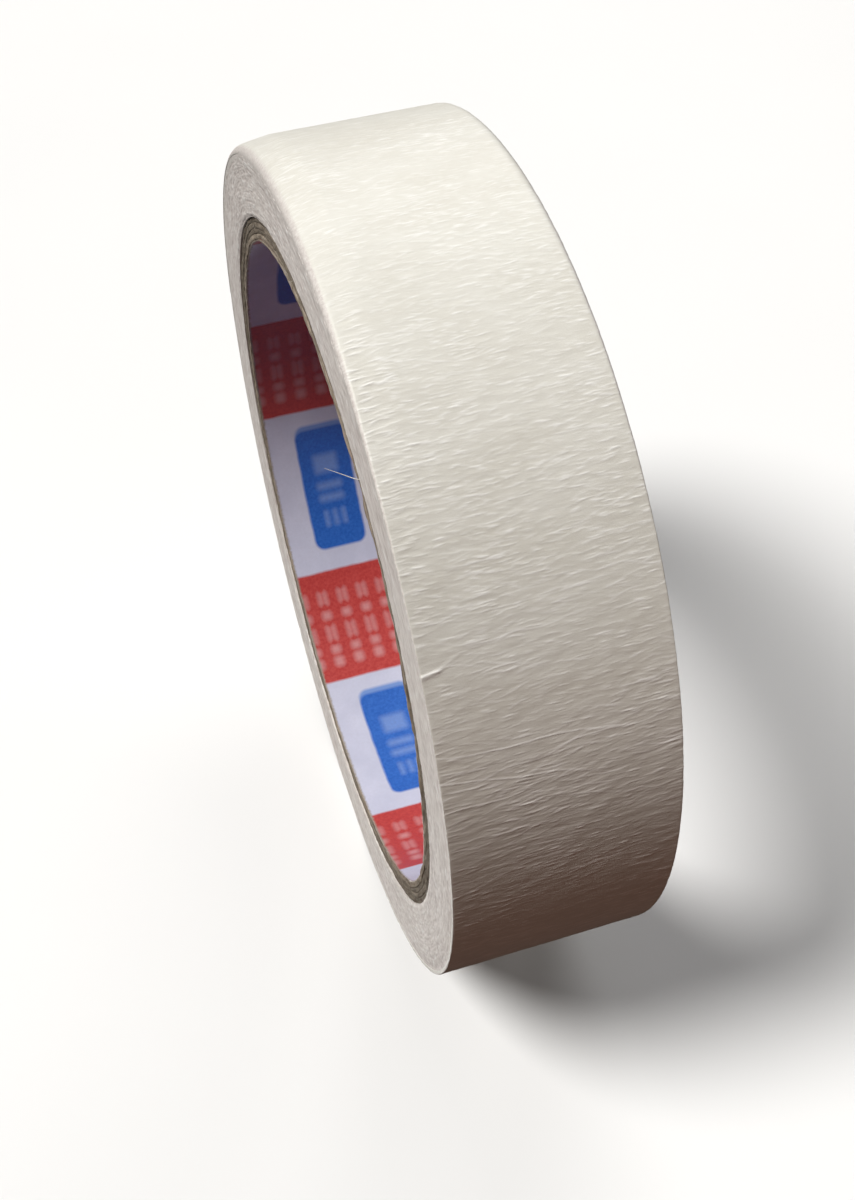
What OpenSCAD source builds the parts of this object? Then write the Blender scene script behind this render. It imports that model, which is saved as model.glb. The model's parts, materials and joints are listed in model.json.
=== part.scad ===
// Masking tape roll: crepe paper tape wound on a plied board core with a printed inner liner.
// The roll stands on its rim. Its axis is X, the origin is the centre of the core's bore, and the
// free end of the tape lies at the back (+Y), cut into short segments that peel off one after another.

/* [Core] */
// Diameter of the open bore, inside the printed liner
bore_d = 77; // [50:0.5:90]
// Thickness of the printed paper liner
liner_t = 0.15; // [0.1:0.05:0.3]
// Number of board plies in the core wall
ply_count = 4; // [4]
// Thickness of the whole board wall, all plies together
board_t = 2.55; // [1.5:0.05:4]

/* [Tape] */
// Width of the tape and of the core
tape_w = 24; // [12:1:50]
// Outside diameter of the wound tape
roll_d = 98.8; // [95:0.1:130]
// Thickness of one turn of tape: paper, adhesive and the gap under a loose end
tape_t = 0.15; // [0.12:0.01:0.25]
// Thickness of the adhesive coat on the tape's inner face
adhesive_t = 0.03; // [0.02:0.01:0.04]
// Length of the slight flat at the foot, where the turns give under the standing roll
foot_len = 10; // [4:0.5:12]

/* [Free end] */
// Height angle of the free end, measured from the back (+Y) towards the top
end_angle = 6; // [0:1:20]
// Number of segments that the loose length is divided into
tail_count = 5; // [5]
// Length of tape in each segment
segment_len = 9; // [6:0.5:10]
// Clearance between the loose tape and the turn below it
tail_gap = 0.03; // [0.02:0.01:0.05]
// Cut between neighbouring segments, seen along the tape
kerf = 0.08; // [0.06:0.01:0.12]

/* [Hidden] */
$fn = 180;
bore_r = bore_d / 2;
board_r = bore_r + liner_t;
core_r = board_r + board_t;
ply_t = board_t / ply_count;
// The surface is a spiral of two half circles: its radius grows by one turn from seam to seam.
seam_r = roll_d / 2 - tape_t / 2;
segment_angle = segment_len / seam_r * 180 / PI;
tail_angle = tail_count * segment_angle;
kerf_angle = kerf / seam_r * 180 / PI;
foot_depth = seam_r - sqrt(pow(seam_r, 2) - pow(foot_len / 2, 2));
far = 2 * roll_d;

// Stands a flat outline on the roll's axis: outline x becomes Y, outline y becomes Z.
module across_roll(width = tape_w) {
    rotate([90, 0, 90])
        linear_extrude(height = width, center = true)
            children();
}

module ring(inner_r, outer_r) {
    difference() {
        circle(r = outer_r);
        circle(r = inner_r);
    }
}

// Half of the plane on one side of the seam line.
module half_plane(side) {
    translate([-far / 2, side > 0 ? 0 : -far / 2])
        square([far, far / 2]);
}

// Area inside the spiral surface, seam on +x, with its small radius r just below the seam.
module spiral_disc(r) {
    union() {
        intersection() {
            circle(r = r);
            half_plane(-1);
        }
        intersection() {
            translate([tape_t / 2, 0])
                circle(r = r + tape_t / 2);
            half_plane(1);
        }
    }
}

// Outline of the wound tape out to radius r, with its free end turned to the back and its foot flattened.
module wound_outline(r) {
    intersection() {
        rotate(end_angle)
            spiral_disc(r);
        translate([-far / 2, foot_depth - r])
            square(far);
    }
}

// Pie slice around the centre of the seam's larger half circle, between two angles under 180 degrees.
module slice(from_angle, to_angle) {
    translate([tape_t / 2, 0])
        polygon([
            [0, 0],
            far * [cos(from_angle), sin(from_angle)],
            far / cos((to_angle - from_angle) / 2)
                * [cos((from_angle + to_angle) / 2), sin((from_angle + to_angle) / 2)],
            far * [cos(to_angle), sin(to_angle)]
        ]);
}

// Part of one loose layer of tape over segment i, counted from the roll towards the free end.
// low and high are heights above the turn below it.
module segment_layer(i, low, high) {
    from_angle = tail_angle - i * segment_angle;
    cut = i == tail_count ? 0 : kerf_angle;
    across_roll()
        rotate(end_angle)
            intersection() {
                translate([tape_t / 2, 0])
                    ring(seam_r - tape_t / 2 + low, seam_r - tape_t / 2 + high);
                slice(from_angle + cut, from_angle + segment_angle);
            }
}

module printed_liner() {
    color("whitesmoke")
        across_roll()
            ring(bore_r, board_r);
}

module core_ply(i) {
    color([0.58, 0.51, 0.42] * (1 - 0.04 * i))
        across_roll()
            ring(board_r + (i - 1) * ply_t, board_r + i * ply_t);
}

module tape_pack() {
    color("linen")
        across_roll()
            difference() {
                wound_outline(seam_r - tape_t);
                circle(r = core_r);
            }
}

module outer_turn() {
    color("antiquewhite")
        across_roll()
            difference() {
                wound_outline(seam_r);
                wound_outline(seam_r - tape_t);
                rotate(end_angle)
                    slice(0, tail_angle + kerf_angle);
            }
}

module tail(i) {
    color("oldlace")
        segment_layer(i, tail_gap + adhesive_t, tape_t);
}

module adhesive(i) {
    color("wheat")
        segment_layer(i, tail_gap, tail_gap + adhesive_t);
}

printed_liner();
core_ply(1);  // core_ply_1
core_ply(2);  // core_ply_2
core_ply(3);  // core_ply_3
core_ply(4);  // core_ply_4
tape_pack();
outer_turn();
tail(1);  // tail_1
tail(2);  // tail_2
tail(3);  // tail_3
tail(4);  // tail_4
tail(5);  // tail_5
adhesive(1);  // adhesive_1
adhesive(2);  // adhesive_2
adhesive(3);  // adhesive_3
adhesive(4);  // adhesive_4
adhesive(5);  // adhesive_5
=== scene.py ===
"""Looks of the masking tape roll: creped tape, layered sides, board core, printed liner and a loose end.

Lengths in this script are millimetres until a mesh is written, which is in metres. The roll's axis is X. An
angle round it runs from the back (+Y, 0 degrees) over the top (+Z, 90 degrees) to the front (180 degrees).
"""

import json
import math

import bpy
import numpy as np
from mathutils import Matrix, Vector


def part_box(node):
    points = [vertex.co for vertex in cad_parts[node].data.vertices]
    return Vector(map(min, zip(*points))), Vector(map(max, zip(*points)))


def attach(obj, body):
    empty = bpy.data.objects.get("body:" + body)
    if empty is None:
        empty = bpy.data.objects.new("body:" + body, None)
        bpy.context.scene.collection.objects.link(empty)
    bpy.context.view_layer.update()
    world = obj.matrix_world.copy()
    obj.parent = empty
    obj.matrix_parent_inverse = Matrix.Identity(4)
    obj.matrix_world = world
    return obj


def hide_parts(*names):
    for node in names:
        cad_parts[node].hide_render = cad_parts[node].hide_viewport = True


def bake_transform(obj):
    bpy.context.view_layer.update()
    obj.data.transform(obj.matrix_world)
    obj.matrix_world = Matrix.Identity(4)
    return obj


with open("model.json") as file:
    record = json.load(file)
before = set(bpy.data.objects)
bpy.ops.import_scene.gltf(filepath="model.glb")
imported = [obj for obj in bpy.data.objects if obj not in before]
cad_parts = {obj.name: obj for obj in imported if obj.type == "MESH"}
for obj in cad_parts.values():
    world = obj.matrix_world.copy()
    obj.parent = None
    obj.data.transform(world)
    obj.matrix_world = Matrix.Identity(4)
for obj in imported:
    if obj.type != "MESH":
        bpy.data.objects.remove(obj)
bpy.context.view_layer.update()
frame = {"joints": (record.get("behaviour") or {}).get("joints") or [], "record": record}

# ---------------------------------------------------------------- sizes, read from the frame
MM = 0.001
RECORD = frame["record"]
BORE_R = next(m for m in RECORD["mounts"] if m["name"] == "core_bore")["dims"]["r_mm"]


def box_mm(node):
    low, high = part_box(node)
    return np.array(low) / MM, np.array(high) / MM


TURN_LOW, TURN_HIGH = box_mm("outer_turn")
HALF_W = TURN_HIGH[0]
ROLL_R = -TURN_LOW[1]
FOOT_Z = TURN_LOW[2]
TAPE_T = 2 * (TURN_HIGH[2] - ROLL_R)
PLY_R = [box_mm(f"core_ply_{i}")[1][1] for i in range(1, 5)]
LINER_R = box_mm("printed_liner")[1][1]
CORE_R = PLY_R[-1]

HINGES = [np.array(j["pos_m"]) / MM for j in frame["joints"]]
HINGE_ANGLES = [math.atan2(h[2], h[1]) for h in HINGES]
SEGMENT_ANGLE = HINGE_ANGLES[0] - HINGE_ANGLES[1]
ROOT_ANGLE = HINGE_ANGLES[0]
END_ANGLE = HINGE_ANGLES[-1] - SEGMENT_ANGLE
TAIL_COUNT = len(HINGES)

FULL_TURN = 2 * math.pi

# The rims are rounded, more so over the top, where the roll has been knocked and its left shoulder has sunk.
RIM_LEAST = 0.08
RIM_EXTRA = 1.2
SHOULDER_FALL = 0.65
SHOULDER_WIDTH = 4.2
SOFT_RIM_ANGLE = math.radians(78)
SOFT_RIM_SPREAD = math.radians(38)


# ---------------------------------------------------------------- mesh helpers
def smoothstep(x):
    x = np.clip(x, 0.0, 1.0)
    return x * x * (3 - 2 * x)


def on_roll(x, r, angle):
    """Points in millimetres from a place along the axis, a radius and an angle round the roll."""
    x, r, angle = np.broadcast_arrays(x, r, angle)
    return np.stack([x, r * np.cos(angle), r * np.sin(angle)], axis=-1)


def volume(points, tris):
    a, b, c = (points[tris[:, k]] for k in range(3))
    return np.einsum("ij,ij->i", a, np.cross(b, c)).sum() / 6


def make_mesh(name, points, quads, material, values=None, tris=None):
    """A smooth-shaded object from points in millimetres, with each array in values as an attribute."""
    mesh = bpy.data.meshes.new(name)
    points = np.asarray(points, float).reshape(-1, 3)
    quads = np.asarray(quads, np.int32).reshape(-1, 4)
    tris = np.zeros((0, 3), np.int32) if tris is None else np.asarray(tris, np.int32).reshape(-1, 3)
    if volume(points, np.concatenate([quads[:, :3], quads[:, [0, 2, 3]], tris])) < 0:
        quads, tris = quads[:, ::-1], tris[:, ::-1]
    mesh.vertices.add(len(points))
    mesh.vertices.foreach_set("co", (points * MM).astype(np.float32).ravel())
    mesh.loops.add(4 * len(quads) + 3 * len(tris))
    mesh.loops.foreach_set("vertex_index", np.concatenate([quads.ravel(), tris.ravel()]))
    starts = np.concatenate([4 * np.arange(len(quads)), 4 * len(quads) + 3 * np.arange(len(tris))])
    mesh.polygons.add(len(quads) + len(tris))
    mesh.polygons.foreach_set("loop_start", starts.astype(np.int32))
    mesh.polygons.foreach_set("use_smooth", np.ones(len(starts), bool))
    mesh.update(calc_edges=True)
    mesh.set_sharp_from_angle(angle=math.radians(62))
    place = mesh.attributes.new("rest_mm", "FLOAT_VECTOR", "POINT")
    place.data.foreach_set("vector", points.astype(np.float32).ravel())
    for key, value in (values or {}).items():
        attribute = mesh.attributes.new(key, "FLOAT", "POINT")
        attribute.data.foreach_set("value", np.asarray(value, np.float32).ravel())
    mesh.materials.append(material)
    obj = bpy.data.objects.new(name, mesh)
    bpy.context.scene.collection.objects.link(obj)
    return obj


def grid_quads(rows, columns, close_rows=False, close_columns=False):
    """Quads of a grid of points stored row by row, joined round in either direction if asked."""
    r = np.arange(rows if close_rows else rows - 1)
    c = np.arange(columns if close_columns else columns - 1)
    r, c = np.meshgrid(r, c, indexing="ij")
    r2, c2 = (r + 1) % rows, (c + 1) % columns
    corners = [r * columns + c, r2 * columns + c, r2 * columns + c2, r * columns + c2]
    return np.stack(corners, axis=-1).reshape(-1, 4)


def end_caps(rows, columns):
    """Triangles that close both ends of a tube whose sections are the grid's columns."""
    ring = np.arange(rows) * columns
    fan = np.stack([np.full(rows - 2, ring[-1]), ring[:-2], ring[1:-1]], axis=-1)
    return np.concatenate([fan, fan[:, ::-1] + columns - 1])


def finish_piece(obj, body, slot, *nodes):
    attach(obj, body)
    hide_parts(*nodes)
    return obj


# ---------------------------------------------------------------- crepe relief of the strip
CREPE_STEP = 0.04  # along the strip
CREPE_CROSS = 0.1  # across it
CALM_UNTIL = math.radians(120)  # over the top, to here, the long wrinkles are faint
CALM_FADE = math.radians(32)
TAIL_LENGTH = ROLL_R * (ROOT_ANGLE - END_ANGLE)
STRIP_START = -TAIL_LENGTH - 2
STRIP_END = ROLL_R * FULL_TURN + 2


def blur_rows(field, sigma):
    """Gaussian blur along the first axis, sigma in cells, wrapping at the ends."""
    frequency = np.fft.rfftfreq(field.shape[0])[:, None]
    gain = np.exp(-2 * (math.pi * sigma * frequency) ** 2)
    return np.fft.irfft(np.fft.rfft(field, axis=0) * gain, n=field.shape[0], axis=0)


def blur(field, sigma_rows, sigma_columns):
    return blur_rows(blur_rows(field, sigma_rows).T, sigma_columns).T


def unit_noise(rng, shape, sigma_rows, sigma_columns):
    """Smooth noise with a spread of one."""
    field = blur(rng.standard_normal(shape), sigma_rows, sigma_columns)
    return field / field.std()


def draw_wrinkles(rng, flow, density, shortest, longest, wobble, bend, tilt):
    """Thin crosswise strokes on a field laid out along and across the strip, which lean with flow."""
    rows, columns = flow.shape
    field = np.zeros_like(flow)
    count = int(density * rows * CREPE_STEP * columns * CREPE_CROSS)
    length = rng.uniform(shortest, longest, count)
    centre_s = rng.uniform(0, rows * CREPE_STEP, count)
    centre_x = rng.uniform(0, columns * CREPE_CROSS, count)
    lean = rng.normal(0, tilt, count)
    waves = bend * rng.uniform(0.5, 1.5, (count, 2)) * np.array([1.0, 2.3])
    phases = rng.uniform(0, FULL_TURN, (count, 2))
    height = 0.25 + 0.75 * rng.uniform(0, 1, count) ** 1.5
    steps = int(longest / CREPE_CROSS) + 2
    for share in np.linspace(0, 1, steps):
        across = (share - 0.5) * length
        column = np.round((centre_x + across) / CREPE_CROSS).astype(int)
        inside = (column >= 0) & (column < columns)
        column = column[inside]
        along = lean * across + wobble * np.sin(waves[:, 0] * across + phases[:, 0])
        along = along + 0.45 * wobble * np.sin(waves[:, 1] * across + phases[:, 1])
        start_row = (centre_s[inside] / CREPE_STEP).astype(int) % rows
        row = (centre_s + along)[inside] / CREPE_STEP + flow[start_row, column] / CREPE_STEP
        taper = math.sin(math.pi * min(max(share, 0.02), 0.98)) ** 0.6
        strength = (height * taper * length / (steps * CREPE_CROSS))[inside]
        low = np.floor(row).astype(int)
        part = row - low
        np.add.at(field, (low % rows, column), strength * (1 - part))
        np.add.at(field, ((low + 1) % rows, column), strength * part)
    return field


def crests(strokes, rise, fall):
    """Strokes drawn out into raised crests, steep where they face up at the front, with a gentle fall below.
    """
    turns = np.fft.rfftfreq(strokes.shape[0], CREPE_STEP)[:, None]
    gain = np.exp(-2 * (math.pi * rise * turns) ** 2) / (1 + 2j * math.pi * turns * fall)
    drawn = np.fft.irfft(np.fft.rfft(strokes, axis=0) * gain, n=strokes.shape[0], axis=0)
    return blur_rows(drawn.T, 1.1).T * fall / CREPE_STEP


def crepe_relief():
    """Height of the creped paper over the strip, in millimetres, and a painted highlight for its crests, 0 to
    1.
    """
    rng = np.random.default_rng(11)
    shape = (int((STRIP_END - STRIP_START) / CREPE_STEP) + 1, int(2 * HALF_W / CREPE_CROSS) + 1)
    flow = 0.26 * unit_noise(rng, shape, 94, 46) + 0.07 * unit_noise(rng, shape, 26, 12)
    fine = draw_wrinkles(rng, flow, 4.6, 0.4, 1.7, 0.07, 1.7, 0.16)
    medium = draw_wrinkles(rng, flow, 0.20, 1.8, 5.0, 0.13, 1.0, 0.14)
    long = draw_wrinkles(rng, flow, 0.016, 7.0, 24.0, 0.42, 0.36, 0.12)
    patches = 0.78 + 0.22 * np.tanh(unit_noise(rng, shape, 70, 26))
    facing = ROOT_ANGLE + (STRIP_START + CREPE_STEP * np.arange(shape[0])) / ROLL_R
    calm = 0.25 + 0.75 * smoothstep((facing - CALM_UNTIL) / CALM_FADE)[:, None]

    relief = 0.074 * patches * crests(fine, 0.031, 0.058)
    relief = relief + calm * (0.056 * crests(medium, 0.032, 0.070) + 0.064 * crests(long, 0.034, 0.076))
    cushion = 0.006 * unit_noise(rng, shape, 15, 9) + 0.007 * unit_noise(rng, shape, 5, 6)
    # painted highlight: the crests are lightened as if light caught their upper flanks
    pale = 2.6 * patches * crests(fine, 0.032, 0.040)
    pale = pale + calm * (3.4 * crests(medium, 0.034, 0.045) + 4.2 * crests(long, 0.036, 0.050))
    return np.clip(relief, 0, 0.15) + cushion, np.clip(pale, 0, 1)


RELIEF, CREST_HIGHLIGHT = crepe_relief()


def sample(field, s, x):
    """Reads a strip field at a length s along the strip and a place x across the roll."""
    row = np.clip((s - STRIP_START) / CREPE_STEP, 0, field.shape[0] - 1.001)
    column = np.clip((x + HALF_W) / CREPE_CROSS, 0, field.shape[1] - 1.001)
    i, j = row.astype(int), column.astype(int)
    u, v = row - i, column - j
    top = field[i, j] * (1 - v) + field[i, j + 1] * v
    below = field[i + 1, j] * (1 - v) + field[i + 1, j + 1] * v
    return top * (1 - u) + below * u


# ---------------------------------------------------------------- the outer turn
def surface_radius(angle):
    """Radius of the spiral outer face. It falls by one turn's thickness at the root of the loose end."""
    turned = angle - END_ANGLE
    beyond = np.clip(turned, 0, math.pi)
    radius = ROLL_R + TAPE_T / 2 * (1 + np.cos(beyond))
    beneath = ROLL_R + TAPE_T / 2 * (1 + np.cos(np.clip(turned - FULL_TURN, 0, math.pi))) - TAPE_T
    return np.where(turned < FULL_TURN, radius, beneath)


def knocked(angle):
    """1 where the roll has been knocked most, falling to 0 away from there."""
    away = (angle - SOFT_RIM_ANGLE + math.pi) % FULL_TURN - math.pi
    return np.exp(-((away / SOFT_RIM_SPREAD) ** 2))


def rim_size(angle):
    """Radius of the rounded rim at an angle round the roll."""
    return RIM_LEAST + RIM_EXTRA * knocked(angle)


def shoulder(x, angle):
    """How far the outer face has sunk towards the left rim."""
    return SHOULDER_FALL * knocked(angle) * smoothstep((SHOULDER_WIDTH - HALF_W - x) / SHOULDER_WIDTH)


def rim_drop(x, angle):
    """How far the outer face has fallen at x, near a rounded rim."""
    size = rim_size(angle)
    inward = np.clip((HALF_W - np.abs(x)) / size, 0, 1)
    return size * (1 - np.sqrt(np.clip(1 - (1 - inward) ** 2, 0, 1))) + shoulder(x, angle)


def cut_share(on_face, angle):
    """How much of a rounded rim shows the cut edges: nearly all of a small one, little of a knocked one."""
    return np.clip((1 - on_face) * (2.6 - 1.5 * knocked(angle)), 0, 1)


def across_profile(rows, rim):
    """Places across the roll for each rim size: a few round each rim and the rest evenly between."""
    turned = np.linspace(math.pi / 2, 0, RIM_ROWS, endpoint=False)[:, None]
    inward = rim * (1 - np.sin(turned))
    middle = np.linspace(-1, 1, rows - 2 * RIM_ROWS)[:, None] * (HALF_W - rim)
    return np.concatenate([inward - HALF_W, middle, (HALF_W - inward)[::-1]])


def flatten_foot(points):
    """The foot of the roll is pressed flat where it stands."""
    points[..., 2] = np.maximum(points[..., 2], FOOT_Z + 0.004 * np.abs(points[..., 1]))
    return points


# A small crease at the left rim, made white with painted highlight: where it starts, where it turns and where
# it fades out.
CREASE_ANGLE = math.radians(146.25)
CREASE_BEND = -HALF_W + 1.7
CREASE_END = -HALF_W + 4.2
CREASE_HEIGHT = 0.11


def crease(angle, x):
    """0 to 1 over the small crease that runs in from the left rim."""
    line = -0.14 * (x + HALF_W) - 0.38 * np.maximum(x - CREASE_BEND, 0)
    along = (angle - CREASE_ANGLE) * ROLL_R - line
    faded = smoothstep((x - CREASE_BEND) / 0.4)
    width = np.where(along < 0, 0.12, 0.42 - 0.12 * smoothstep((x + HALF_W) / 1.5))
    strength = (1 - 0.70 * faded) * smoothstep((CREASE_END - x) / 1.5)
    return strength * np.exp(-((along / width) ** 2))


CRINKLE_ANGLE = math.radians(120)
CRINKLE_SPREAD = math.radians(24)


def crinkle(angle, x):
    """How much deeper the creping is along the left rim, over the upper front."""
    beside_rim = np.exp(-(((x + HALF_W - 1.6) / 1.5) ** 2))
    return 0.9 * beside_rim * np.exp(-(((angle - CRINKLE_ANGLE) / CRINKLE_SPREAD) ** 2))


FACE_STEP = 0.056  # along the outer face
FACE_ROWS = 103
RIM_ROWS = 5
BAND_DEPTH = 0.35
TAIL_GAP = 0.03


def wound_band(name, from_angle, to_angle, material, *nodes):
    """A stretch of the outer turn with its rounded rims, closed underneath."""
    columns = int(ROLL_R * (to_angle - from_angle) / FACE_STEP) + 1
    angle = np.linspace(from_angle, to_angle, columns)[None, :]
    rim = rim_size(angle)
    x = across_profile(FACE_ROWS, rim)
    s = np.broadcast_to((angle - ROOT_ANGLE) * ROLL_R, x.shape)
    on_face = smoothstep((HALF_W - np.abs(x)) / rim)
    beneath_tail = smoothstep((angle - END_ANGLE - FULL_TURN) * ROLL_R / 0.5)
    lift = sample(RELIEF, s, x) * (0.45 + 0.55 * on_face) * (1 - 0.6 * beneath_tail) - TAIL_GAP * beneath_tail
    lift = lift * (1 + crinkle(angle, x))
    mark = crease(angle, x)
    radius = surface_radius(angle) - rim_drop(x, angle) + lift + CREASE_HEIGHT * mark
    # the creped edge is a little ragged where it is cut
    ragged = 0.9 * (1 - on_face) * np.clip(sample(RELIEF, s, 0.25 * x), -0.03, 0.03)
    top = flatten_foot(on_roll(x + np.sign(x) * (ragged - 0.03 * (1 - on_face)), radius, angle))
    edge = np.array([[HALF_W - 0.05], [0.05 - HALF_W]])
    depth = rim + shoulder(edge, angle) + BAND_DEPTH
    under = flatten_foot(on_roll(edge, surface_radius(angle) - depth, angle))
    # the crease is whitened with the same painted highlight as the crests
    highlight_amount = np.maximum(sample(CREST_HIGHLIGHT, s, x), 1.3 * mark)
    points = np.concatenate([top, under])
    flat = np.zeros((2, columns))
    values = {
        "painted_highlight": np.concatenate([highlight_amount, flat]),
        "rim": np.concatenate([cut_share(on_face, angle), flat]),
    }
    quads = grid_quads(len(points), columns, close_rows=True)
    obj = make_mesh(name, points, quads, material, values, end_caps(len(points), columns))
    return finish_piece(obj, "roll", "tape_paper", *nodes)


# ---------------------------------------------------------------- the side faces of the wound tape
SIDE_ROWS = 92
SIDE_COLUMNS = 1800
SIDE_INSET = 0.06  # below the cut face of the CAD ring
SIDE_REACH = 0.06  # out under the rim of the outer turn
SIDE_THICKNESS = 2.2


def side_relief(seed):
    """Depth of the side face over radius and angle, in millimetres, its mottling and its pale flecks."""
    rng = np.random.default_rng(seed)
    shape = (SIDE_ROWS, SIDE_COLUMNS)
    turns = unit_noise(rng, shape, 0.7, 60)
    streaks = unit_noise(rng, shape, 0.8, 5.0)
    grains = unit_noise(rng, shape, 0.85, 1.1)
    clumps = unit_noise(rng, shape, 2.0, 2.6)
    swell = unit_noise(rng, shape, 14, 110)
    depth = 0.004 * turns + 0.006 * streaks + 0.009 * grains + 0.007 * clumps + 0.03 * swell
    mottle = 0.5 + 0.05 * turns + 0.10 * streaks + 0.12 * grains + 0.14 * clumps
    flecks = smoothstep((unit_noise(rng, shape, 1.2, 2.4) - 1.0) / 0.9)
    return depth + 0.012 * flecks, np.clip(mottle, 0, 1), flecks


def side_ring(side, seed, material):
    """One side face of the wound tape, closed behind as two half rings. side is -1 or 1 along the axis."""
    word = "left" if side < 0 else "right"
    t = np.linspace(0, 1, SIDE_ROWS)[:, None]
    depth, mottle, flecks = side_relief(seed)
    half = SIDE_COLUMNS // 2
    for k, place in enumerate(("back", "front")):
        columns = np.arange(k * half, (k + 1) * half + 1)
        # the halves meet at the top and at the foot
        angle = (columns * FULL_TURN / SIDE_COLUMNS - math.pi / 2)[None, :]
        outer = ROLL_R - rim_drop(side * HALF_W, angle) + SIDE_REACH
        radius = CORE_R + t * (outer - CORE_R)
        tuck = 0.12 * (1 - smoothstep(t * 12)) ** 2
        relief = depth[:, columns % SIDE_COLUMNS]
        face = flatten_foot(on_roll(side * (HALF_W - SIDE_INSET + relief - tuck), radius, angle))
        back = flatten_foot(on_roll(side * (HALF_W - SIDE_THICKNESS), radius[[-1, 0]], angle))
        points = np.concatenate([face, back])
        shade, pale = (field[:, columns % SIDE_COLUMNS] for field in (mottle, flecks))
        values = {
            "mottle": np.concatenate([shade, np.full_like(shade[:2], 0.5)]),
            "fleck": np.concatenate([pale, np.zeros_like(pale[:2])]),
        }
        size = len(points), len(columns)
        quads = grid_quads(*size, close_rows=True)
        obj = make_mesh(f"tape_side_{word}_{place}", points, quads, material, values, end_caps(*size))
        finish_piece(obj, "roll", "tape_paper", "tape_pack")


# ---------------------------------------------------------------- the board core and its liner
PLY_EDGE_ROWS = 9
RING_COLUMNS = 1200
# How far each ply's cut edge is sunk below the side face, and how ragged it is, from the inside out.
PLY_RECESSES = (0.28, 0.38, 0.32, 0.34)
PLY_RAGGED = (0.050, 0.020, 0.014, 0.018)


def periodic_noise(rng, columns, sigma):
    field = blur_rows(rng.standard_normal((columns, 1)), sigma)[:, 0]
    return field / field.std()


def core_ply(index, inner_r, outer_r, material):
    """One ply of the board tube, with a fibrous cut edge at both ends."""
    rng = np.random.default_rng(40 + index)
    angle = np.linspace(0, FULL_TURN, RING_COLUMNS, endpoint=False)[None, :]
    t = np.linspace(0, 1, PLY_EDGE_ROWS)[:, None]
    shape = (PLY_EDGE_ROWS, RING_COLUMNS)
    rings, fuzz = [], []
    for side in (-1, 1):
        rough = 0.014 * unit_noise(rng, shape, 0.5, 0.8) + 0.020 * unit_noise(rng, shape, 1.5, 5)
        tears = periodic_noise(rng, RING_COLUMNS, 2.5) + periodic_noise(rng, RING_COLUMNS, 14)
        torn = PLY_RAGGED[index - 1] * tears
        rounding = 0.07 * (2 * t - 1) ** 4
        x = side * (HALF_W - PLY_RECESSES[index - 1] - rounding + rough + np.minimum(torn, 0.10)[None, :])
        ring = on_roll(x, inner_r + t * (outer_r - inner_r), angle)
        rings.append(ring if side < 0 else ring[::-1])
        fuzz.append(0.5 + 0.2 * unit_noise(rng, shape, 0.8, 2.0))
    quads = grid_quads(2 * PLY_EDGE_ROWS, RING_COLUMNS, close_rows=True, close_columns=True)
    values = {"fuzz": np.concatenate(fuzz)}
    obj = make_mesh(f"board_ply_{index}", np.concatenate(rings), quads, material, values)
    return finish_piece(obj, "roll", "core_board", f"core_ply_{index}")


def printed_liner(material):
    """The printed paper inside the core, a little wavy where it's loose, with a slightly torn edge."""
    rng = np.random.default_rng(77)
    rows = 34
    angle = np.linspace(0, FULL_TURN, RING_COLUMNS, endpoint=False)[None, :]
    across = np.linspace(-1, 1, rows)[:, None]
    wave = 0.024 * unit_noise(rng, (rows, RING_COLUMNS), 4, 18)
    edge = [0.025 * periodic_noise(rng, RING_COLUMNS, 2.0) + 0.055 * periodic_noise(rng, RING_COLUMNS, 11)
            for _ in range(2)]
    edge = 0.36 + np.clip(edge, -0.20, 0.25)
    x = across * (HALF_W - np.where(across < 0, edge[0], edge[1]) * np.abs(across) ** 6)
    inner = on_roll(x, BORE_R + np.abs(wave), angle)
    outer = on_roll(x[[-1, 0]], LINER_R - 0.005, angle)
    points = np.concatenate([inner, outer])
    quads = grid_quads(len(points), RING_COLUMNS, close_rows=True, close_columns=True)
    obj = make_mesh("liner_print", points, quads, material)
    return finish_piece(obj, "roll", "liner_paper", "printed_liner")


def fibre(points, thickness):
    """Rings of a tapering hair through a few points, in millimetres."""
    path = np.array(points, float)
    t = np.linspace(0, 1, 17)
    spans = np.linspace(0, 1, len(path))
    line = np.stack([np.interp(t, spans, path[:, k]) for k in range(3)], axis=-1)
    for _ in range(3):
        line[1:-1] = (line[:-2] + 2 * line[1:-1] + line[2:]) / 4
    ahead = np.gradient(line, axis=0)
    ahead /= np.linalg.norm(ahead, axis=1, keepdims=True)
    side = np.cross(ahead, [0.3, 0.5, 0.8])
    side /= np.linalg.norm(side, axis=1, keepdims=True)
    up = np.cross(ahead, side)
    radius = thickness / 2 * (1 - 0.75 * t)[:, None, None]
    turn = (np.arange(6) * FULL_TURN / 6)[None, :, None]
    return line[:, None] + radius * (np.cos(turn) * side[:, None] + np.sin(turn) * up[:, None])


# The one long hair stands out across the bore from the left edge of the core.
LONG_HAIR = [[-11.5, -21.9, 34.0], [-11.8, -20.2, 32.7], [-12.3, -14.8, 28.8], [-12.6, -9.4, 24.7]]


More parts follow.
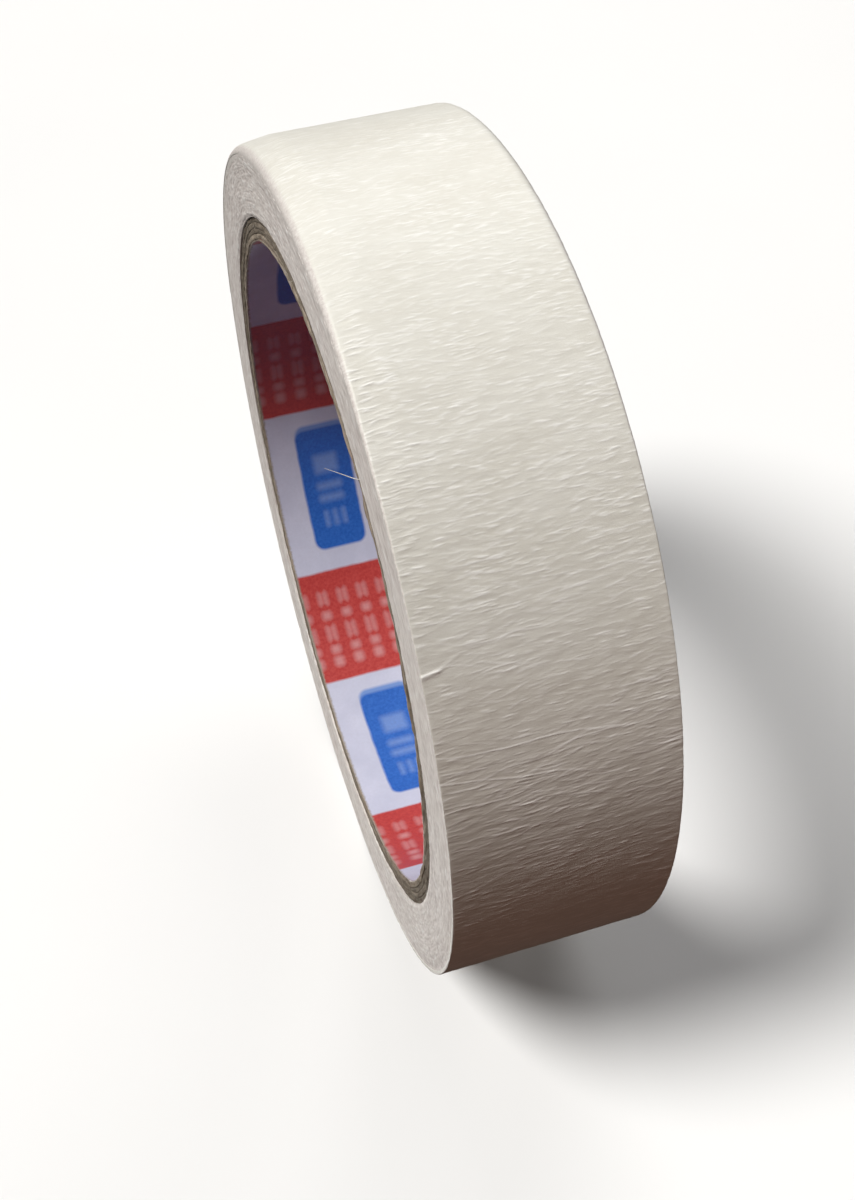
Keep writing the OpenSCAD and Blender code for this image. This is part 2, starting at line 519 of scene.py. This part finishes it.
def core_fibres(material):
    """Loose paper fibres standing out from the cut edge of the core and the liner."""
    rng = np.random.default_rng(5)
    hairs = [fibre(LONG_HAIR, 0.13)]
    for _ in range(46):
        side = rng.choice([-1, 1])
        angle = rng.uniform(0, FULL_TURN)
        root_r = rng.uniform(BORE_R + 0.1, CORE_R - 0.2)
        length = rng.uniform(0.3, 0.9)
        lean = rng.uniform(-0.9, 0.9)
        path = []
        for share in (0, 0.35, 0.7, 1):
            bend = lean * share + rng.normal(0, 0.05)
            x = side * (HALF_W - 0.45 + 0.4 * length * share * (1 - 0.3 * share))
            path.append(on_roll(x, root_r - length * 0.55 * share, angle + bend * length / root_r)[()])
        hairs.append(fibre(path, rng.uniform(0.025, 0.05)))
    points, quads, tris = [], [], []
    for k, hair in enumerate(hairs):
        rings, sides = hair.shape[:2]
        base = k * rings * sides
        points.append(hair.reshape(-1, 3))
        quads.append(grid_quads(rings, sides, close_columns=True) + base)
        last = base + (rings - 1) * sides
        for c in range(1, sides - 1):
            tris.append([base, base + c + 1, base + c])
            tris.append([last, last + c, last + c + 1])
    obj = make_mesh("core_fibres", np.concatenate(points), np.concatenate(quads), material, tris=tris)
    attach(obj, "roll")
    return obj


# ---------------------------------------------------------------- the loose end
ADHESIVE_T = 0.03
TAIL_ROWS = 91
COAT_STEP = 0.25
COAT_ROWS = 45


def end_fray(x):
    """How far the torn end falls short of a straight cut, across the tape."""
    rng = np.random.default_rng(23)
    places = np.linspace(-HALF_W, HALF_W, 61)
    teeth = 0.14 * np.abs(rng.standard_normal(61)) + 0.10 * np.abs(np.sin(places * 0.9))
    return np.interp(x, places, np.clip(teeth, 0, 0.38))


def closed_sheet(name, upper, lower, material, values):
    """A thin closed shell between two grids of the same size."""
    rows, columns = upper.shape[:2]
    points = np.concatenate([upper.reshape(-1, 3), lower.reshape(-1, 3)])
    shift = rows * columns
    top = grid_quads(rows, columns)
    faces = [top, top[:, ::-1] + shift]
    index = np.arange(shift).reshape(rows, columns)
    for line, forward in ((index[0], True), (index[-1], False), (index[:, 0], False), (index[:, -1], True)):
        wall = np.stack([line[:-1], line[1:], line[1:] + shift, line[:-1] + shift], axis=-1)
        faces.append(wall if forward else wall[:, ::-1])
    return make_mesh(name, points, np.concatenate(faces), material, values)


def tail_span(index):
    """Where a piece of the loose end starts and stops. The last one is the free half segment."""
    middles = [hinge - SEGMENT_ANGLE / 2 for hinge in HINGE_ANGLES]
    return [ROOT_ANGLE, *middles][index], [*middles, END_ANGLE][index]


def tail_grid(index, rows, step, fringe):
    """Angles and places across one piece of the loose end, with its torn edge on the last one."""
    start, stop = tail_span(index)
    columns = int(ROLL_R * (start - stop) / step) + 1
    share = np.linspace(0, 1, columns)[None, :]
    angle = start + (stop - start) * share
    x = across_profile(rows, rim_size(angle)) * fringe
    if index == TAIL_COUNT:
        angle = angle + smoothstep((share - 0.84) / 0.16) * end_fray(x) / ROLL_R
    return np.broadcast_arrays(angle, x)


def bend_at_hinge(piece, index):
    """Bakes a piece of the loose end where it lies; the free end instead only rides on the last segment."""
    if index == TAIL_COUNT:
        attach(piece, f"tail_{TAIL_COUNT}")
        return
    hinge = HINGE_ANGLES[index]
    # a lead ahead of the hinge, where no paper of the loose end lies; the ends worked out from it are not
    # used
    lead = SEGMENT_ANGLE / (4 if index == 0 else 2)
    start, end = (on_roll(0, ROLL_R, angle)[()] * MM for angle in (hinge + lead, hinge - SEGMENT_ANGLE / 2))
    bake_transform(piece)


def tail_piece(index, paper, glue):
    """Paper and adhesive of one piece of the loose end."""
    paper_t = TAPE_T - TAIL_GAP - ADHESIVE_T

    def face(angle, x):
        return surface_radius(angle) - rim_drop(x, angle)

    angle, x = tail_grid(index, TAIL_ROWS, FACE_STEP, 0.9985)
    s = (angle - ROOT_ANGLE) * ROLL_R
    loose = smoothstep(-s / 5)
    lift = sample(RELIEF, s, x) * (1 - 0.2 * loose) + 0.010 * loose
    # painted highlight on the crests, as on the wound turn
    highlight_amount = sample(CREST_HIGHLIGHT, s, x)
    outer = on_roll(x, face(angle, x) + lift, angle)
    below = on_roll(x, face(angle, x) - paper_t + 0.3 * lift, angle)
    rim = cut_share(smoothstep((HALF_W - np.abs(x)) / rim_size(angle)), angle)
    values = {
        "painted_highlight": np.concatenate([highlight_amount, np.zeros_like(highlight_amount)]),
        "rim": np.concatenate([rim, np.zeros_like(rim)]),
    }
    strip = closed_sheet(f"tail_paper_{index + 1}", outer, below, paper, values)

    angle, x = tail_grid(index, COAT_ROWS, COAT_STEP, 0.995)
    top = on_roll(x, face(angle, x) - paper_t - 0.002, angle)
    bottom = on_roll(x, face(angle, x) - paper_t - ADHESIVE_T, angle)
    coat = closed_sheet(f"tail_adhesive_{index + 1}", top, bottom, glue, {})

    stands_for = min(index + 1, TAIL_COUNT)
    for piece, slot, node in ((strip, "tape_paper", "tail"), (coat, "adhesive", "adhesive")):
        bend_at_hinge(piece, index)
        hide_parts(f"{node}_{stands_for}")


# ---------------------------------------------------------------- materials
class Nodes:
    """Short calls for building a node material."""

    def __init__(self, name):
        self.material = bpy.data.materials.new(name)
        self.material.use_nodes = True
        self.tree = self.material.node_tree
        self.shader = self.tree.nodes["Principled BSDF"]

    def put(self, socket, value):
        if isinstance(value, bpy.types.NodeSocket):
            self.tree.links.new(value, socket)
        else:
            socket.default_value = value

    def attribute(self, name, output="Fac"):
        node = self.tree.nodes.new("ShaderNodeAttribute")
        node.attribute_name = name
        return node.outputs[output]

    def math(self, operation, a, b=0.0, c=0.0, clamp=False):
        node = self.tree.nodes.new("ShaderNodeMath")
        node.operation = operation
        node.use_clamp = clamp
        for socket, value in zip(node.inputs, (a, b, c)):
            self.put(socket, value)
        return node.outputs[0]

    def scaled(self, vector, scale):
        node = self.tree.nodes.new("ShaderNodeVectorMath")
        node.operation = "MULTIPLY"
        self.put(node.inputs[0], vector)
        node.inputs[1].default_value = scale
        return node.outputs[0]

    def split(self, vector):
        node = self.tree.nodes.new("ShaderNodeSeparateXYZ")
        self.put(node.inputs[0], vector)
        return node.outputs

    def noise(self, vector, scale, detail=3.0, roughness=0.55):
        node = self.tree.nodes.new("ShaderNodeTexNoise")
        self.put(node.inputs["Vector"], vector)
        node.inputs["Scale"].default_value = scale
        node.inputs["Detail"].default_value = detail
        node.inputs["Roughness"].default_value = roughness
        return node.outputs["Fac"]

    def span(self, value, low, high, to_low=0.0, to_high=1.0):
        node = self.tree.nodes.new("ShaderNodeMapRange")
        self.put(node.inputs["Value"], value)
        for key, number in (("From Min", low), ("From Max", high), ("To Min", to_low), ("To Max", to_high)):
            node.inputs[key].default_value = number
        return node.outputs["Result"]

    def mix(self, factor, a, b, blend="MIX"):
        node = self.tree.nodes.new("ShaderNodeMix")
        node.data_type = "RGBA"
        node.blend_type = blend
        self.put(node.inputs["Factor"], factor)
        self.put(node.inputs["A"], (*a, 1.0) if isinstance(a, tuple) else a)
        self.put(node.inputs["B"], (*b, 1.0) if isinstance(b, tuple) else b)
        return node.outputs["Result"]

    def bump(self, height, distance, strength=1.0):
        node = self.tree.nodes.new("ShaderNodeBump")
        self.put(node.inputs["Height"], height)
        node.inputs["Distance"].default_value = distance
        node.inputs["Strength"].default_value = strength
        return node.outputs["Normal"]

    def set(self, **values):
        for key, value in values.items():
            if isinstance(value, tuple):
                value = (*value, 1.0)
            self.put(self.shader.inputs[key.replace("_", " ")], value)


def crepe_paper():
    n = Nodes("crepe_paper")
    place = n.attribute("rest_mm", "Vector")
    painted_highlight = n.attribute("painted_highlight")
    rim = n.attribute("rim")
    cloud = n.noise(n.scaled(place, (0.10, 0.16, 0.16)), 1.0, 3)
    fleck = n.noise(n.scaled(place, (1.1, 3.4, 3.4)), 1.0, 4, 0.65)
    grain = n.noise(n.scaled(place, (5.0, 11.0, 11.0)), 1.0, 3, 0.7)
    base = n.mix(n.span(cloud, 0.35, 0.65), (0.735, 0.712, 0.645), (0.780, 0.763, 0.703))
    base = n.mix(n.span(fleck, 0.40, 0.66, 0.0, 0.35), base, (0.830, 0.818, 0.768))
    # painted highlight: crests lightened where light would catch them
    base = n.mix(n.span(painted_highlight, 0.1, 0.9, 0.0, 0.82), base, (0.935, 0.926, 0.895))
    speck = n.noise(n.scaled(place, (3.0, 3.0, 3.0)), 1.0, 4, 0.7)
    cut = n.mix(n.span(speck, 0.35, 0.65), (0.620, 0.560, 0.530), (0.830, 0.785, 0.750))
    base = n.mix(n.span(rim, 0.45, 0.95, 0.0, 0.92), base, cut)
    n.set(Base_Color=base)
    n.set(Roughness=n.span(fleck, 0.3, 0.7, 0.50, 0.38), Normal=n.bump(grain, 0.00003, 0.6))
    n.set(Specular_IOR_Level=0.42, Sheen_Weight=0.06, Sheen_Roughness=0.4)
    return n.material


def tape_side():
    n = Nodes("tape_side")
    place = n.attribute("rest_mm", "Vector")
    mottle = n.attribute("mottle")
    pale = n.attribute("fleck")
    speck = n.noise(n.scaled(place, (3.6, 3.6, 3.6)), 1.0, 4, 0.7)
    cloud = n.noise(n.scaled(place, (0.12, 0.12, 0.12)), 1.0, 2)
    base = n.mix(n.span(mottle, 0.1, 0.9), (0.610, 0.545, 0.515), (0.865, 0.810, 0.775))
    base = n.mix(n.math("MULTIPLY", pale, 0.65), base, (0.935, 0.915, 0.890))
    base = n.mix(n.span(speck, 0.60, 0.74, 0.0, 0.5), base, (0.920, 0.900, 0.875))
    base = n.mix(n.span(speck, 0.25, 0.40, 0.45, 0.0), base, (0.480, 0.420, 0.395))
    base = n.mix(n.span(cloud, 0.35, 0.65, 0.0, 0.3), base, (0.840, 0.795, 0.742))
    n.set(Base_Color=base, Roughness=0.62, Specular_IOR_Level=0.35)
    n.set(Normal=n.bump(n.math("ADD", speck, mottle), 0.00002, 0.5))
    return n.material


def core_board(index):
    n = Nodes(f"core_board_{index}")
    place = n.attribute("rest_mm", "Vector")
    fuzz = n.attribute("fuzz")
    speck = n.noise(n.scaled(place, (2.2, 2.2, 2.2)), 1.0, 5, 0.7)
    cloud = n.noise(n.scaled(place, (0.3, 0.3, 0.3)), 1.0, 2)
    # Tone of each ply from the inside out: the board's own tone, darkened in part as painted shade of the
    # sunken cut edges, most on the second and outermost plies.
    shade = (1.25, 0.80, 0.88, 0.74)[index - 1]
    dark = tuple(shade * v for v in (0.135, 0.105, 0.080))
    light = tuple(shade * v for v in (0.330, 0.278, 0.222))
    base = n.mix(n.span(fuzz, 0.1, 0.9), dark, light)
    base = n.mix(n.span(speck, 0.56, 0.72, 0.0, 0.45), base, (0.42, 0.365, 0.30))
    base = n.mix(n.span(speck, 0.28, 0.42, 0.6, 0.0), base, (0.085, 0.064, 0.045))
    base = n.mix(n.span(cloud, 0.3, 0.7, 0.0, 0.25), base, (0.26, 0.22, 0.17))
    n.set(Base_Color=base, Roughness=0.9, Specular_IOR_Level=0.2, Normal=n.bump(speck, 0.00012, 0.8))
    return n.material


# The liner's print, repeated round the bore: a red band, then a row of blue panels.
PRINT_REPEATS = 6
RED_CENTRE = math.radians(-0.5)
RED_HALF = math.radians(12.1)
PANEL_HALF = 8.95  # half the panel's length round the bore
PANEL_WIDTH_HALF = 3.75
PANEL_PITCH = 12.0
PANEL_CENTRE_X = -3.9


def rounded_box(n, u, v, half_u, half_v, corner, softness):
    """1 inside a rounded rectangle, 0 outside, with a soft printed edge."""
    qu = n.math("SUBTRACT", n.math("ABSOLUTE", u), half_u - corner)
    qv = n.math("SUBTRACT", n.math("ABSOLUTE", v), half_v - corner)
    du, dv = n.math("MAXIMUM", qu, 0.0), n.math("MAXIMUM", qv, 0.0)
    away = n.math("SQRT", n.math("ADD", n.math("MULTIPLY", du, du), n.math("MULTIPLY", dv, dv)))
    inside = n.math("MINIMUM", n.math("MAXIMUM", qu, qv), 0.0)
    return n.span(n.math("ADD", away, inside), corner - softness, corner + softness, 1.0, 0.0)


def repeated(n, value, pitch, centre):
    """value folded to the nearest repeat of centre, from minus half a pitch to half a pitch."""
    return n.math("WRAP", n.math("SUBTRACT", value, centre), pitch / 2, -pitch / 2)


def largest(n, masks):
    result = masks[0]
    for mask in masks[1:]:
        result = n.math("MAXIMUM", result, mask)
    return result


def red_wording(n, x, red_arc):
    """Rows of plain bars and dots, in place of the wording on the red bands."""
    mark_x = repeated(n, x, 2.95, 0.2)
    bars = [rounded_box(n, n.math("SUBTRACT", red_arc, at), mark_x, half, 0.66, 0.5, 0.42)
            for at, half in ((4.3, 1.1), (1.75, 0.62), (-0.9, 1.25), (-3.35, 0.6), (-5.2, 0.75))]
    slots = [rounded_box(n, n.math("SUBTRACT", red_arc, at), mark_x, 1.6, 0.2, 0.2, 0.3)
             for at in (4.3, -0.9)]
    return n.math("SUBTRACT", largest(n, bars), n.math("MULTIPLY", largest(n, slots), 0.7), clamp=True)


def blue_wording(n, blue_arc, panel_x):
    """A plain square and bars, in place of the mark and the wording on the blue panels."""
    square = rounded_box(n, n.math("SUBTRACT", blue_arc, 3.5), panel_x, 1.4, 1.7, 0.4, 0.5)
    stripes = [rounded_box(n, n.math("SUBTRACT", blue_arc, at), panel_x, 0.5, 1.8, 0.45, 0.5)
               for at in (0.2, -1.6)]
    small_x = repeated(n, panel_x, 1.3, 0.0)
    small = rounded_box(n, n.math("ADD", blue_arc, 4.6), small_x, 1.1, 0.3, 0.28, 0.45)
    small = n.math("MULTIPLY", small, n.span(n.math("ABSOLUTE", panel_x), 1.7, 1.9, 1.0, 0.0))
    return largest(n, [square, *stripes, small])


def print_colour(n, place, x, paper, speck):
    """The red bands and blue panels over the paper, with their marks."""
    y, z = n.split(place)[1:]
    angle = n.math("ARCTAN2", z, y)
    pitch = FULL_TURN / PRINT_REPEATS
    wander = n.span(n.noise(n.scaled(place, (0.5, 0.5, 0.5)), 1.0, 2), 0.3, 0.7, -0.05, 0.05)
    red_arc = n.math("MULTIPLY", repeated(n, angle, pitch, RED_CENTRE), BORE_R)
    red_arc = n.math("ADD", red_arc, wander)
    blue_arc = n.math("MULTIPLY", repeated(n, angle, pitch, RED_CENTRE - pitch / 2), BORE_R)
    red_edge = RED_HALF * BORE_R
    red = n.span(n.math("ABSOLUTE", red_arc), red_edge - 0.2, red_edge + 0.2, 1.0, 0.0)
    panel_x = n.math("ADD", repeated(n, x, PANEL_PITCH, PANEL_CENTRE_X), wander)
    panel = rounded_box(n, blue_arc, panel_x, PANEL_HALF, PANEL_WIDTH_HALF, 1.3, 0.22)
    # a paler edge shows where the blue was printed a little out of place
    ghost_arc = n.math("SUBTRACT", blue_arc, 0.75)
    ghost = rounded_box(n, ghost_arc, panel_x, PANEL_HALF, PANEL_WIDTH_HALF - 0.1, 1.3, 0.25)

    red_ink = n.mix(n.span(speck, 0.35, 0.65), (0.440, 0.038, 0.036), (0.530, 0.062, 0.054))
    blue_ink = n.mix(n.span(speck, 0.35, 0.65), (0.016, 0.105, 0.46), (0.028, 0.145, 0.55))
    colour = n.mix(n.math("MULTIPLY", ghost, 0.85), paper, (0.10, 0.24, 0.60))
    colour = n.mix(panel, colour, blue_ink)
    colour = n.mix(red, colour, red_ink)
    on_red = n.math("MULTIPLY", n.math("MULTIPLY", red_wording(n, x, red_arc), red), 0.38)
    colour = n.mix(on_red, colour, (0.78, 0.55, 0.56))
    on_blue = n.math("MULTIPLY", n.math("MULTIPLY", blue_wording(n, blue_arc, panel_x), panel), 0.32)
    return n.mix(on_blue, colour, (0.42, 0.55, 0.80))


def liner_print():
    n = Nodes("liner_print")
    place = n.attribute("rest_mm", "Vector")
    x = n.split(place)[0]
    speck = n.noise(n.scaled(place, (2.5, 2.5, 2.5)), 1.0, 3, 0.6)
    cloud = n.noise(n.scaled(place, (0.25, 0.25, 0.25)), 1.0, 2)
    paper = n.mix(n.span(cloud, 0.3, 0.7), (0.535, 0.550, 0.690), (0.610, 0.620, 0.760))
    paper = n.mix(n.span(speck, 0.35, 0.7, 0.0, 0.3), paper, (0.500, 0.500, 0.610))
    colour = print_colour(n, place, x, paper, speck)
    # board shows at the raw edge of the liner
    torn = n.math("ADD", n.math("ABSOLUTE", x), n.span(speck, 0.3, 0.7, -0.10, 0.10))
    colour = n.mix(n.span(torn, HALF_W - 0.70, HALF_W - 0.38), colour, (0.34, 0.29, 0.24))
    n.set(Base_Color=colour, Roughness=n.span(speck, 0.3, 0.7, 0.36, 0.5), Specular_IOR_Level=0.5)
    n.set(Normal=n.bump(speck, 0.00004, 0.4), Coat_Weight=0.08, Coat_Roughness=0.3)
    return n.material


def adhesive_coat():
    n = Nodes("adhesive_coat")
    place = n.attribute("rest_mm", "Vector")
    lumps = n.noise(n.scaled(place, (0.7, 1.6, 1.6)), 1.0, 4, 0.6)
    fine = n.noise(n.scaled(place, (4.0, 4.0, 4.0)), 1.0, 3, 0.6)
    base = n.mix(n.span(lumps, 0.35, 0.65), (0.600, 0.525, 0.370), (0.705, 0.640, 0.490))
    base = n.mix(n.span(fine, 0.55, 0.7, 0.0, 0.4), base, (0.780, 0.735, 0.610))
    n.set(Base_Color=base, Roughness=n.span(lumps, 0.3, 0.7, 0.22, 0.4), Specular_IOR_Level=0.5)
    n.set(Normal=n.bump(lumps, 0.00008, 0.5), Coat_Weight=0.25, Coat_Roughness=0.2)
    return n.material


def fibre_material():
    n = Nodes("loose_fibre")
    place = n.attribute("rest_mm", "Vector")
    tone = n.noise(n.scaled(place, (1.5, 1.5, 1.5)), 1.0, 3)
    n.set(Base_Color=n.mix(n.span(tone, 0.35, 0.65), (0.62, 0.55, 0.46), (0.86, 0.83, 0.78)), Roughness=0.6)
    return n.material


# ---------------------------------------------------------------- building the roll
BAND_COUNT = 6

paper = crepe_paper()
side_material = tape_side()
glue = adhesive_coat()
for band in range(BAND_COUNT):
    band_start = ROOT_ANGLE + band * FULL_TURN / BAND_COUNT
    replaced = ("outer_turn", "tape_pack") if band == BAND_COUNT - 1 else ("outer_turn",)
    wound_band(f"wound_turn_{band + 1}", band_start, band_start + FULL_TURN / BAND_COUNT, paper, *replaced)
for side, seed in ((-1, 3), (1, 4)):
    side_ring(side, seed, side_material)
for number, (inner_r, outer_r) in enumerate(zip([LINER_R, *PLY_R], PLY_R), start=1):
    core_ply(number, inner_r, outer_r, core_board(number))
printed_liner(liner_print())
core_fibres(fibre_material())
for piece_index in range(TAIL_COUNT + 1):
    tail_piece(piece_index, paper, glue)


# ---------------------------------------------------------------- floor, light and camera
def floor():
    n = Nodes("pale_floor")
    coordinates = n.tree.nodes.new("ShaderNodeTexCoord").outputs["Object"]
    tone = n.noise(coordinates, 6.0, 3)
    n.set(Base_Color=n.mix(n.span(tone, 0.3, 0.7), (0.84, 0.84, 0.843), (0.87, 0.87, 0.872)), Roughness=0.8)
    size = 6000.0
    level = FOOT_Z - 0.02
    corners = [[-size, -size, level], [size, -size, level], [size, size, level], [-size, size, level]]
    obj = make_mesh("floor", corners, [[0, 1, 2, 3]], n.material)
    obj.visible_diffuse = False  # no light bounces up from it, so the lower front stays in shade
    obj.visible_glossy = False
    return obj


def distant_light(name, direction, strength, spread, colour):
    """A soft light far away, which comes from direction and is spread degrees wide."""
    data = bpy.data.lights.new(name, "SUN")
    data.energy = strength
    data.angle = math.radians(spread)
    data.color = colour
    obj = bpy.data.objects.new(name, data)
    obj.rotation_euler = Vector(direction).to_track_quat("Z", "Y").to_euler()
    bpy.context.scene.collection.objects.link(obj)
    return obj


def fill_panel(name, place, target, size, power, colour):
    """A weak panel near the roll, which the camera does not see."""
    data = bpy.data.lights.new(name, "AREA")
    data.shape = "RECTANGLE"
    data.size, data.size_y = size
    data.energy = power
    data.color = colour
    obj = bpy.data.objects.new(name, data)
    obj.location = place
    obj.rotation_euler = (Vector(target) - Vector(place)).to_track_quat("-Z", "Y").to_euler()
    obj.visible_camera = False
    bpy.context.scene.collection.objects.link(obj)
    return obj


def pale_surroundings():
    """A pale studio wall to look at, which sheds only a little light."""
    world = bpy.data.worlds.new("studio")
    world.use_nodes = True
    tree = world.node_tree
    background = tree.nodes["Background"]
    background.inputs["Color"].default_value = (0.95, 0.96, 1.0, 1.0)
    ray = tree.nodes.new("ShaderNodeLightPath").outputs["Is Camera Ray"]
    strength = tree.nodes.new("ShaderNodeMapRange")
    strength.inputs["To Min"].default_value = 0.030
    strength.inputs["To Max"].default_value = 0.90
    tree.links.new(ray, strength.inputs["Value"])
    tree.links.new(strength.outputs["Result"], background.inputs["Strength"])
    bpy.context.scene.world = world


def studio_light(floor_object):
    distant_light("key", (-0.65, 0.04, 1.0), 3.50, 22, (1.0, 0.985, 0.955))
    distant_light("back", (0.25, 0.60, 0.60), 0.75, 40, (1.0, 0.99, 0.97))
    distant_light("side", (1.0, 0.35, 0.25), 0.80, 40, (1.0, 0.99, 0.97))
    warm = fill_panel("fill", (0.02, -0.26, -0.01), (0, 0, -0.03), (0.30, 0.06), 0.044, (1.0, 0.42, 0.22))
    bounce = distant_light("bounce", (0.0, 0.62, -1.0), 0.75, 24, (1.0, 0.98, 0.95))
    floor_only = bpy.data.collections.new("not_lit_by_fill")
    floor_only.objects.link(floor_object)
    floor_only.collection_objects[0].light_linking.link_state = "EXCLUDE"
    warm.light_linking.receiver_collection = floor_only
    # the light the pale floor would throw back up: it passes through the floor and leaves it unlit
    bounce.light_linking.receiver_collection = floor_only
    bounce.light_linking.blocker_collection = floor_only
    pale_surroundings()


# Where the photograph was taken from, in the part's frame, in millimetres, with its viewing directions.
CAMERA_PLACE = Vector((-33.61, -119.37, 129.40))
CAMERA_FORWARD = Vector((0.1834, 0.6377, -0.7482))
CAMERA_UP = Vector((0.2391, 0.7093, 0.6632))
CAMERA_LENS = 44.33


def camera():
    data = bpy.data.cameras.new("camera")
    data.sensor_width = 36.0
    data.lens = CAMERA_LENS
    data.clip_start = 0.005
    data.clip_end = 20.0
    obj = bpy.data.objects.new("camera", data)
    forward = CAMERA_FORWARD.normalized()
    right = forward.cross(CAMERA_UP).normalized()
    up = right.cross(forward)
    turn = Matrix((right, up, -forward)).transposed().to_4x4()
    obj.matrix_world = Matrix.Translation(CAMERA_PLACE * MM) @ turn
    bpy.context.scene.collection.objects.link(obj)
    bpy.context.scene.camera = obj


studio_light(floor())
camera()
bpy.context.scene.view_settings.view_transform = "Standard"
